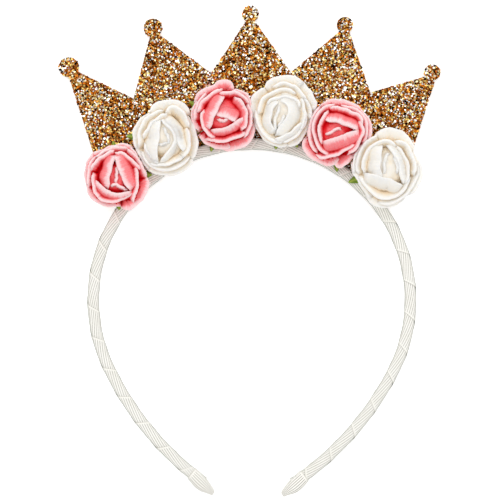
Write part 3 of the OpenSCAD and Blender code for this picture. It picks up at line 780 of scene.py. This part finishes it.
# each petal: kind, height of its rim above the seat, belly, then its rim line seen from the front,
# from the rose's middle. A plus belly swells outwards below the rim, a minus one flares to the rim.
roses = {}
roses["rose_1"] = [
    ("inner", 13.2, 2.8, [(-3.3, -4.6), (-3.2, -1.1), (-2.6, 2.3), (-1.7, 5.6), (-0.9, 8.1)]),
    ("inner", 13.0, 4.6, [(-0.8, 8.1), (0.4, 5.1), (1.7, 1.6), (3.4, -2), (5.6, -5.2)]),
    ("inner", 12.5, 1.7, [(5.9, -5.6), (3.7, -6.6), (0.7, -7), (-3.2, -6), (-6.1, -4.1), (-8.1, -1.6)]),
    ("bud", 12.6, 0.8, [(4.2, -5.1), (1.5, -4), (0.1, -2.9), (-1.1, -3.3), (-2.3, -4.1)]),
    ("bud", 12.6, 0.9, [(0, -2.9), (0, -0.5), (0.1, 1.8), (0.1, 4.1)]),
    ("mid", 11.7, -0.8, [(-10.2, 2.2), (-9.2, 4.7), (-6.9, 7.1), (-4.3, 8.8), (-1.2, 10.7)]),
    ("mid", 11.3, -0.8, [(-6.6, -8.9), (-7.6, -7.6), (-8.9, -4.7), (-9.3, -1.7), (-9.3, 1.4)]),
    ("mid", 11.0, -0.8, [(6.7, -5.9), (5.2, -7.1), (3, -8.6), (0.3, -9.6),
        (-2.7, -10.1), (-5.4, -9.4), (-7.6, -7.8)]),
    ("mid", 11.7, -0.8, [(7.1, 4.1), (8.1, 1.6), (8.4, -1.3), (8.2, -4.2), (7.5, -7), (6.8, -9.7)]),
    ("mid", 11.9, -0.8, [(-0.9, 9.5), (1.5, 9.5), (3.8, 8.4), (6.1, 6.5), (7.9, 5), (9.4, 3.1)]),
    ("rim", 10.4, -0.9, [(-8.5, 7.4), (-6.4, 9.1), (-3.5, 10.8), (-0.9, 11.6), (1.8, 11.7), (4.3, 11.1)]),
    ("rim", 10.2, -0.9, [(3.8, 11.3), (6.2, 9.5), (8.8, 6.4), (10.6, 3.2), (11.7, -0.1)]),
    ("rim", 10.0, -0.9, [(-10.9, -4.2), (-11.2, -0.7), (-11.1, 2.3), (-10.1, 5.6), (-8.5, 8.1)]),
    ("outer", 9.0, -1.6, [(-10.1, 9.4), (-7.4, 10.2), (-4.3, 11.6), (-1.3, 12.6),
        (1.6, 13.3), (4.1, 13.2), (6.3, 12.3)]),
    ("outer", 8.8, -1.2, [(5.2, 12.7), (7, 10.4), (9, 7.3), (10.7, 4.3), (12.2, 0.9)]),
    ("outer", 8.2, -3.2, [(12.1, 0.5), (13, -2.1), (12.7, -5), (11.2, -8.1),
        (8.6, -11.2), (5.6, -13.2), (2.3, -12.7)]),
    ("outer", 7.6, -2.6, [(1.9, -11.9), (-2.1, -12.1), (-6, -11.4), (-9.2, -9.7), (-11.5, -6.5), (-12.4, -2.7)]),
    ("outer", 8.2, -2.4, [(-12.2, -3.8), (-12.9, -0.4), (-12.8, 3.1), (-11.8, 6.7), (-9.8, 9.5)]),
]
roses["rose_2"] = [
    ("inner", 13.2, 4.2, [(-3, -9.3), (-3.7, -6.9), (-3.4, -3.7), (-3, -0.2), (-2.7, 3.6), (-2.5, 7.2)]),
    ("inner", 12.4, 2.9, [(-1.2, 7), (1.6, 4.7), (3.8, 1.8), (4.6, -0.4), (5.9, -2.9), (7.2, -5.3)]),
    ("inner", 13.0, 1.5, [(-2.2, 7.2), (0.1, 5.5), (2.4, 3.3), (3.5, 0.6),
        (3.4, -2.1), (1.8, -4.9), (-0.2, -7.4), (-2.2, -9.4)]),
    ("bud", 12.9, 1.4, [(1, -1.4), (0.3, -2), (-1.2, -2.4), (-2.9, -2.8)]),
    ("bud", 12.9, 1.0, [(-1.1, 4.5), (0.2, 2), (1.2, -0.3), (0.9, -2.6)]),
    ("mid", 12.1, -0.7, [(-8.9, -0.3), (-8.2, 1.8), (-6.4, 4.6), (-4.3, 7.1), (-2, 8.8), (0.4, 9.9)]),
    ("mid", 11.8, -0.8, [(-2.5, -10.4), (-4.2, -9.3), (-5.9, -7.4), (-7.6, -4.7), (-8.4, -2.2)]),
    ("mid", 11.2, -0.8, [(7.5, -6.7), (5, -8.8), (2.1, -10.1), (-0.8, -10.8), (-3.7, -10.8), (-6.5, -9.9)]),
    ("mid", 11.8, -0.8, [(8, 4.2), (9.2, 2), (9.6, -1), (9.3, -3.9), (8.3, -6.2), (6.5, -7.9)]),
    ("mid", 11.2, -1.0, [(-0.2, 9.9), (0.7, 11.7), (2.7, 12.5), (5.2, 11.8), (7.4, 9.5), (8.6, 7), (9.3, 4.5)]),
    ("rim", 10.6, -0.9, [(-10.3, -4.1), (-10.7, -0.8), (-10.4, 2.6), (-9.1, 6),
        (-6.8, 8.5), (-3.7, 10.3), (-0.8, 11)]),
    ("rim", 10.2, -0.9, [(10, -7), (7.4, -10), (3.6, -12), (-0.5, -12.7), (-4.5, -11.9), (-7.5, -9.5), (-9.5, -5.3)]),
    ("outer", 9.2, -2.6, [(-6.9, 10.6), (-4.6, 13.8), (-1.3, 15.1), (1.4, 15.5),
        (4.3, 15.2), (6.9, 14.1), (8.8, 12.4), (9.7, 10.3)]),
    ("outer", 8.8, -1.8, [(-11.6, -5.2), (-12.9, -1.9), (-13.2, 0.9), (-12.8, 3.6),
        (-11.4, 6.3), (-9.1, 8.7), (-6.3, 10.6)]),
    ("outer", 8.6, -1.4, [(8.8, 9.5), (10.8, 6.4), (12.1, 3.1), (12.9, -0.3),
        (13, -3.4), (12.1, -6.4), (10.7, -8.5)]),
    ("outer", 7.8, -2.2, [(11.4, -7.6), (10.5, -10.4), (8, -12.9), (4.9, -14.5),
        (1.8, -15), (-1.5, -14.8), (-4.7, -14), (-7.9, -12.6)]),
    ("outer", 8.4, -0.8, [(-6.8, -13.2), (-8.1, -11.2), (-9.7, -8.5), (-11.4, -5.6), (-12.6, -2.9)]),
]
roses["rose_3"] = [
    ("inner", 13.2, 3.6, [(-5.1, -5.2), (-4.6, -3.5), (-3.6, -0.8), (-2.4, 2.1), (-1.1, 4.7), (0.3, 7.4)]),
    ("inner", 12.7, 4.8, [(-2.8, 0.5), (-0.7, 0.1), (1.3, -0.4), (3.4, -1.2), (5.6, -2.1)]),
    ("bud", 12.6, 0.9, [(2.6, -1.1), (1, -1.9), (-0.7, -1.9), (-2.1, -1.2)]),
    ("inner", 12.6, 1.9, [(8.4, -0.3), (6.9, -1.7), (4.7, -3.4), (1.8, -4.8), (-1.4, -5.7), (-4.3, -6)]),
    ("mid", 11.9, -2.0, [(4.6, 7.6), (6.9, 6.2), (8.6, 4.1), (9.6, 1.5), (9.7, -1.2), (9.2, -3.8), (7.8, -5.7)]),
    ("mid", 11.8, -0.8, [(-2.6, -8.7), (-5.3, -7.6), (-6.9, -5.4), (-8.1, -2.7), (-8.2, -0.3), (-7.4, 2.4)]),
    ("mid", 11.6, -0.8, [(-9.8, 1.1), (-8.9, 3.8), (-7.1, 6.3), (-4.8, 8.2), (-2.4, 9.8), (-0.2, 10.7)]),
    ("mid", 11.2, -0.8, [(-1.7, 8.6), (1.5, 9.3), (4.8, 9.5), (7.5, 8.5), (9.3, 6.8), (10.5, 4.8)]),
    ("mid", 11.0, -0.8, [(9.3, -5.9), (7.8, -7.6), (4.6, -9), (0.9, -10.1), (-3, -10.1), (-6.5, -9.5)]),
    ("rim", 10.6, -0.9, [(9.9, 5.4), (11.1, 2.1), (11.6, -0.9), (11.2, -4), (10.1, -6.7), (8.8, -8.4)]),
    ("rim", 10.4, -0.9, [(-11.1, -2.4), (-11, 0.5), (-10.1, 3.7), (-8.4, 6.8), (-6.2, 9.1)]),
    ("outer", 9.4, -2.6, [(-11.7, 5.5), (-10.2, 8.9), (-7.3, 10.8), (-3.8, 12.2), (-2, 13.9),
        (0.6, 14.6), (2.9, 14), (4, 12.2), (4.3, 10.4)]),
    ("outer", 8.8, -1.4, [(-9.6, -6.5), (-11.2, -4.2), (-12.4, -1.8), (-12.6, 0.6), (-11.6, 3.7), (-10.1, 7)]),
    ("outer", 8.0, -2.0, [(4, -12.3), (1.4, -13.4), (-1.9, -13.1), (-5, -12.2), (-7.6, -10.5), (-9.5, -8.3)]),
    ("outer", 7.8, -2.6, [(11.5, 0.1), (12.5, -2.7), (13, -6), (12.2, -9.1),
        (10.1, -11.5), (7.1, -13), (3.7, -14), (1.2, -13.9)]),
    ("outer", 9.2, -1.2, [(3.6, 10.5), (5.8, 10.6), (8.3, 9.9), (10.3, 8.4), (11.2, 6.2), (11.5, 3.2)]),
]
roses["rose_4"] = [
    ("inner", 13.1, 2.2, [(-3.2, -8.6), (-4.6, -6.3), (-5.2, -3.7), (-4.8, -0.6), (-3.7, 1.8), (-1.7, 3.8)]),
    ("inner", 13.2, 4.4, [(-1.5, 3.7), (0.6, 3.2), (2.2, 1.8), (2.4, -0.1),
        (1.6, -2.5), (0, -5), (-1.6, -7.4), (-2.7, -9.6)]),
    ("bud", 12.9, 0.9, [(-2.5, -8.4), (-3.2, -6.1), (-3, -3.2), (-2.1, -0.4), (-1.3, 2.7)]),
    ("bud", 12.9, 0.9, [(0.7, -1.1), (0, -3), (-1.1, -5), (-2, -6.9)]),
    ("mid", 12.4, -0.8, [(-6.7, 1.8), (-5.7, 3.6), (-3.1, 5), (0.2, 5.6), (3.2, 5.3), (5.6, 3.9), (7, 1.3)]),
    ("inner", 12.3, 1.4, [(7.2, -4.2), (5.3, -6.7), (2.7, -8.9), (-0.3, -10.5), (-3.1, -11.3)]),
    ("mid", 11.6, -0.8, [(-9.8, -1.7), (-9.7, 1.3), (-8.4, 4.1), (-6.2, 6.2),
        (-3.3, 7.8), (-0.3, 8.6), (2.6, 8.3), (5.1, 6.9)]),
    ("mid", 11.6, -0.8, [(7, 5.3), (8.2, 2.1), (8.7, -1.6), (8.1, -5), (6.6, -7.9)]),
    ("mid", 11.0, -0.8, [(0.2, -12.5), (-3.1, -12.2), (-5.8, -11.1), (-7.9, -8.9),
        (-9.6, -5.8), (-10.8, -2.8), (-10.8, 0.1)]),
    ("mid", 10.8, -0.8, [(9.4, -0.3), (9.1, -3), (8, -6.3), (5.8, -9.4), (3, -11.5), (-0.3, -12.5)]),
    ("rim", 10.8, -0.9, [(-4.4, 9), (-2, 10.8), (0.7, 11.1), (3.3, 10.3), (5.6, 8.9), (7.5, 6.8), (9.2, 4.2)]),
    ("rim", 10.2, -0.9, [(7.1, 6.6), (8.8, 4.6), (10.3, 2.1), (11.1, -0.3), (10.6, -3.6)]),
    ("outer", 9.2, -2.6, [(-7.8, 8.9), (-6.5, 11.5), (-4.3, 13.2), (-1.2, 14.1),
        (1.4, 14.3), (4.3, 13.9), (6.8, 12.7), (8.8, 10.7)]),
    ("outer", 9.0, -2.0, [(6.6, 12.7), (8.8, 10.7), (11, 8), (12.7, 5.1), (13.4, 2.4), (12.5, -0.3)]),
    ("outer", 8.8, -2.0, [(-11.3, -4.8), (-12.6, -1.8), (-13.3, 1.2), (-13.1, 4.1),
        (-11.9, 6.5), (-9.7, 8.3), (-7, 9.3)]),
    ("outer", 8.0, -1.8, [(2.6, -13.7), (0, -14.4), (-2.9, -14.1), (-5.8, -12.9),
        (-8.2, -10.9), (-10.1, -8.1), (-11.4, -5.3), (-12.1, -2.8)]),
    ("outer", 8.0, -1.6, [(12.3, -0.1), (11.6, -3.1), (10.3, -6.8), (8.4, -10.3),
        (6.2, -12.9), (4.1, -14.1), (1.8, -14.2)]),
]
roses["rose_5"] = [
    ("inner", 13.0, 2.9, [(-5, 5.4), (-2.3, 4.9), (1, 4.3), (4.2, 3.1), (6.5, 2.2), (8.1, 1.7)]),
    ("inner", 13.2, 4.2, [(8.1, 1.3), (5.9, 0.4), (3.2, -0.7), (0.3, -1.7), (-2.6, -2.9), (-5.5, -3.4)]),
    ("mid", 12.4, -0.7, [(-6, -4.4), (-7, -1.7), (-7.3, 1), (-6.8, 4.1), (-5.5, 6.8), (-3.7, 8.9)]),
    ("bud", 12.6, 0.7, [(1.9, 1.5), (0.5, 1.8), (-1.4, 1.2), (-3.1, 0), (-4.7, -0.7)]),
    ("mid", 11.4, -0.8, [(-2.9, -8.7), (-5, -8), (-7, -6), (-8.6, -3), (-9.5, -0.1),
        (-9.6, 3.2), (-8.8, 6.2), (-6.8, 8.9), (-3.9, 10.9), (-1.2, 11.7)]),
    ("mid", 11.8, -0.8, [(-3.5, 9.9), (-0.3, 10.3), (2.6, 9.7), (5.3, 8.5), (7.9, 7.8), (9.4, 5.9), (10.2, 3.4)]),
    ("mid", 11.6, -0.8, [(8.2, 5.3), (9.7, 3.4), (10.2, 0.7), (9.4, -1.8), (8.5, -3.9), (7.1, -6.3), (4.6, -8.2)]),
    ("mid", 11.2, -0.8, [(7.2, -4), (5.6, -5.2), (3.4, -6.6), (0.5, -8.3), (-2.9, -9.4), (-6, -9.9), (-8.1, -8.7)]),
    ("rim", 10.4, -0.9, [(-7.5, -8.2), (-9.4, -6), (-10.8, -3.5), (-11.3, -0.8),
        (-10.9, 2.1), (-10.2, 5.3), (-8.9, 8.5), (-6.8, 10.7)]),
    ("rim", 10.2, -0.9, [(0.9, 11.2), (4, 10.6), (7.4, 9.4), (9.8, 7.6),
        (11.3, 4.9), (11.8, 1.6), (11.4, -1.4), (10, -4.1)]),
    ("outer", 9.0, -2.0, [(-7.5, 10.6), (-5.4, 12.5), (-2.5, 13.6), (0.8, 13.7),
        (4.2, 12.9), (7.2, 11.8), (9.7, 9.8)]),
    ("outer", 8.8, -2.2, [(8.9, 10.5), (11.4, 7.8), (13.4, 4.5), (14, 1.2), (13.5, -1.3), (11.7, -3.4)]),
    ("outer", 7.8, -3.4, [(1.1, -10.2), (-0.5, -12), (-2.8, -13), (-5.9, -12.5), (-8.9, -11.2),
        (-11.6, -9.1), (-13.6, -6.3), (-14, -4), (-12.9, -1.5)]),
    ("outer", 7.6, -2.4, [(9, -6.4), (7.6, -9.1), (5.8, -10.5), (3.7, -12.5),
        (1.7, -13.9), (0.2, -13.3), (-1, -11.9), (-2, -10.2)]),
    ("outer", 8.4, -1.0, [(13.6, -0.7), (11.9, -3), (9.8, -6), (7.6, -9)]),
    ("outer", 9.0, -1.0, [(-12.4, -1.4), (-11.5, 1.5), (-10.5, 4.9), (-9.1, 8.2), (-7, 11)]),
]
roses["rose_6"] = [
    ("inner", 13.1, 4.2, [(-1.8, -4.3), (-2.7, -1.8), (-2.8, 1.6), (-2.5, 5.2), (-2.2, 8.4)]),
    ("inner", 13.0, 1.8, [(-0.1, 8.3), (2.6, 5.8), (4.2, 3.1), (5.2, 0), (5.8, -3.2), (6.5, -6.3)]),
    ("bud", 12.9, 0.9, [(-0.8, -3.3), (-0.9, -0.6), (-0.7, 2.6), (0, 4.8), (1.5, 4.8)]),
    ("bud", 12.9, 0.9, [(2.2, 4.2), (3.3, 3.1), (4.2, 0.4), (4.4, -2.7)]),
    ("inner", 12.8, 3.8, [(6.2, -7.4), (3.7, -6.1), (1, -5), (-1.9, -4.4), (-5.1, -3.4), (-8.3, -2.9)]),
    ("mid", 11.8, -0.8, [(-8.8, -2.8), (-9.4, 0.1), (-9.2, 3.3), (-7.9, 6), (-5.9, 8.3),
        (-3.5, 9.9), (-0.8, 10.5), (2, 9.8), (4.1, 8.3)]),
    ("mid", 11.6, -0.8, [(2.9, 10.2), (5.6, 10.3), (7.8, 8.8), (9.4, 6.4), (10.8, 3), (11.4, -0.3), (10.9, -3.3)]),
    ("mid", 11.4, -0.8, [(3.6, 8.5), (5.9, 6.3), (7.8, 3.2), (8.8, -0.4), (8.6, -4), (7.1, -6.7)]),
    ("rim", 10.6, -0.9, [(-10.9, -3.3), (-11.8, -0.1), (-11.6, 3.2), (-10.4, 6.4),
        (-8.3, 9.7), (-6.1, 11.5), (-3.6, 12.4)]),
    ("mid", 10.8, -0.8, [(9.5, -3.7), (8.2, -7.4), (6.1, -9.9), (3.2, -11.9), (-0.2, -12.7),
        (-3.6, -11.7), (-6.5, -9.5), (-8.8, -6.8), (-10.9, -3.6)]),
    ("outer", 9.2, -3.0, [(-5.2, 12.4), (-3.2, 14.6), (-0.5, 15.6), (2.4, 15.7),
        (5.3, 14.8), (8, 12.9), (10.1, 10.2), (11, 6.8)]),
    ("outer", 8.8, -2.4, [(10.2, 7.1), (12.7, 3.5), (14.4, -0.7), (14.4, -4.3),
        (13.2, -7.3), (11.4, -10), (8.8, -11.3)]),
    ("outer", 8.0, -2.0, [(8.6, -11.2), (6.4, -13.6), (3.7, -15.4), (0.1, -16.3),
        (-3.5, -15.8), (-6.4, -14.2), (-8.3, -10.9)]),
    ("outer", 8.6, -1.4, [(-6.2, -13.3), (-8.6, -10), (-10.4, -7.3), (-12.3, -4.4), (-13.7, -1.8), (-14.4, 1.4)]),
    ("rim", 9.6, -0.9, [(-13, -3.1), (-13, 0.1), (-12.9, 2.8), (-11.7, 5.9), (-9.8, 8.9)]),
    ("rim", 9.8, -0.9, [(12.1, 1.9), (12.6, -1.7), (11.4, -5.7), (9.4, -8.9),
        (7, -11.7), (3.7, -13.9), (0.1, -14.7), (-3.5, -14.1)]),
]

for name, petals in roses.items():
    makeRose(name, rosePlace[name], petals, garland[name][0])


# Calyxes: a green cup and pointed sepals under each rose

sepals = {    # direction and length of each sepal that shows past the petals
    "calyx_1": ((97, 14.6), (5, 14.2), (275, 13.4)),
    "calyx_2": ((178, 16.0), (75, 11.6)),
    "calyx_3": ((158, 14.6), (253, 15.0)),
    "calyx_4": ((260, 15.6), (293, 15.8), (60, 11.6)),
    "calyx_5": ((90, 14.6), (271, 15.4)),
    "calyx_6": ((203, 16.4), (60, 12.5), (292, 12.5)),
}
calyx = dict(
    wide=5.2, thick=0.6, back=8.25, above=0.32,     # a sepal's middle lies this much above its back
    shortLength=11.4, shortAt=(20, 140, 225, 330), clear=40,    # short sepals where no long one is within clear degrees
    midrib=0.16, droop=0.1, curl=0.35,
    cup=(6.1, 5.4), floor=2.15, base=0.75,      # the cup's outer and inner radius
)


def sepalSolid(direction, length):
    # half width = half of wide * sin(pi * t^0.8)^0.8 along the leaf, raised along the midrib,
    # its sides drooping and its tip curling to the front
    t = np.linspace(0.12, 0.985, 26)[:, None]
    a = np.linspace(0, 2 * np.pi, 24, endpoint=False)[None]
    half = calyx["wide"] / 2 * np.sin(np.pi * t ** 0.8) ** 0.8 + 0.08
    across, height = half * np.cos(a), calyx["thick"] / 2 * np.sin(a) * (1 - 0.5 * t)
    rib = np.exp(-(across / 0.35) ** 2) * (np.sin(a) > 0)
    height = height + calyx["midrib"] * rib - calyx["droop"] * (across / 2.5) ** 2 + calyx["curl"] * ramp(t, 0.6, 1.0)
    height = height + calyx["back"] + calyx["above"]
    d = math.radians(direction)
    x = length * t * math.cos(d) - across * math.sin(d)
    y = length * t * math.sin(d) + across * math.cos(d)
    points, quads = loopSolid(np.stack([x + 0 * a, y, height], -1))
    return points, quads, (0.8 * rib).ravel()


def cupSolid():
    # the cup's wall and floor as one profile turned round its axis, from the middle underneath to the middle inside,
    # its corners eased a little
    outer, inner = calyx["cup"]
    low, top = calyx["floor"], calyx["back"] + 0.7
    base = low + calyx["base"]
    profile = np.array([(0.02, low), (outer - 0.3, low), (outer, low + 0.3), (outer, top - 0.2), (outer - 0.15, top),
                        (inner + 0.1, top), (inner, top - 0.15), (inner, base), (0.02, base)])
    r, h = profile[:, :1], profile[:, 1:]
    angle = np.linspace(0, 2 * np.pi, 48, endpoint=False)
    points, quads = loopSolid(np.stack([r * np.cos(angle), r * np.sin(angle), h + 0 * angle], -1))
    return points, quads, np.zeros(len(points))


for name, shown in sepals.items():
    far = [min(abs((a - d + 540) % 360 - 180) for a, l in shown) > calyx["clear"] for d in calyx["shortAt"]]
    leaves = list(shown) + [(d, calyx["shortLength"]) for d, free in zip(calyx["shortAt"], far) if free]
    points, quads, rib = joined([sepalSolid(*leaf) for leaf in leaves] + [cupSolid()])
    points = points + [*rosePlace[name.replace("calyx", "rose")], 0]
    piece = makePiece(name + "_leaves", points, quads, dict(rib=rib))
    wear(piece, calyxGreen)
    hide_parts(name)
print("calyxes made")


# Floor, light and camera, in metres

ground = dict(half=3, low=-0.0002)
x, z = ground["half"], ground["low"]
floorMesh = bpy.data.meshes.new("floor")
floorMesh.from_pydata([(-x, -x, z), (x, -x, z), (x, x, z), (-x, x, z)], [], [(0, 1, 2, 3)])
floor = bpy.data.objects.new("floor", floorMesh)
bpy.context.scene.collection.objects.link(floor)
wear(floor, floorPaint)


def softLight(name, place, size, watts):
    # a square light that faces the origin
    light = bpy.data.lights.new(name, "AREA")
    light.shape, light.size, light.energy = "SQUARE", size, watts
    lamp = bpy.data.objects.new(name, light)
    x, y, z = place
    lamp.location = place
    lamp.rotation_euler = (math.atan2(math.hypot(x, y), z), 0, math.atan2(-y, -x) - math.pi / 2)
    bpy.context.scene.collection.objects.link(lamp)


softLight("key", (-0.45, 0.6, 1.4), 1.2, 8.5)
softLight("fill", (0.9, -0.3, 1.2), 0.8, 3.0)
softLight("back", (0.2, 1.2, 0.8), 0.5, 2)
world = bpy.data.worlds.new("studio")
bpy.context.scene.world = world
world.use_nodes = True
world.node_tree.nodes["Background"].inputs["Color"].default_value = (1, 1, 1, 1)
world.node_tree.nodes["Background"].inputs["Strength"].default_value = 0.7
bpy.context.scene.view_settings.view_transform = "Standard"

# straight down, rolled as the photograph is, over a point given in millimetres from the band's middle:
# the picture is across wide at the height level
view = dict(distance=3.0, across=0.2, level=0.006, sensor=36, middle=(-1.158, 20.01), roll=1.2)
cameraData = bpy.data.cameras.new("camera")
cameraData.sensor_width = view["sensor"]
cameraData.lens = view["sensor"] * (view["distance"] - view["level"]) / view["across"]
cameraData.clip_end = 20
camera = bpy.data.objects.new("camera", cameraData)
camera.location = (*((m + b) / 1000 for m, b in zip(view["middle"], band["middle"])), view["distance"])
camera.rotation_euler = (0, 0, math.radians(view["roll"]))
bpy.context.scene.collection.objects.link(camera)
bpy.context.scene.camera = camera
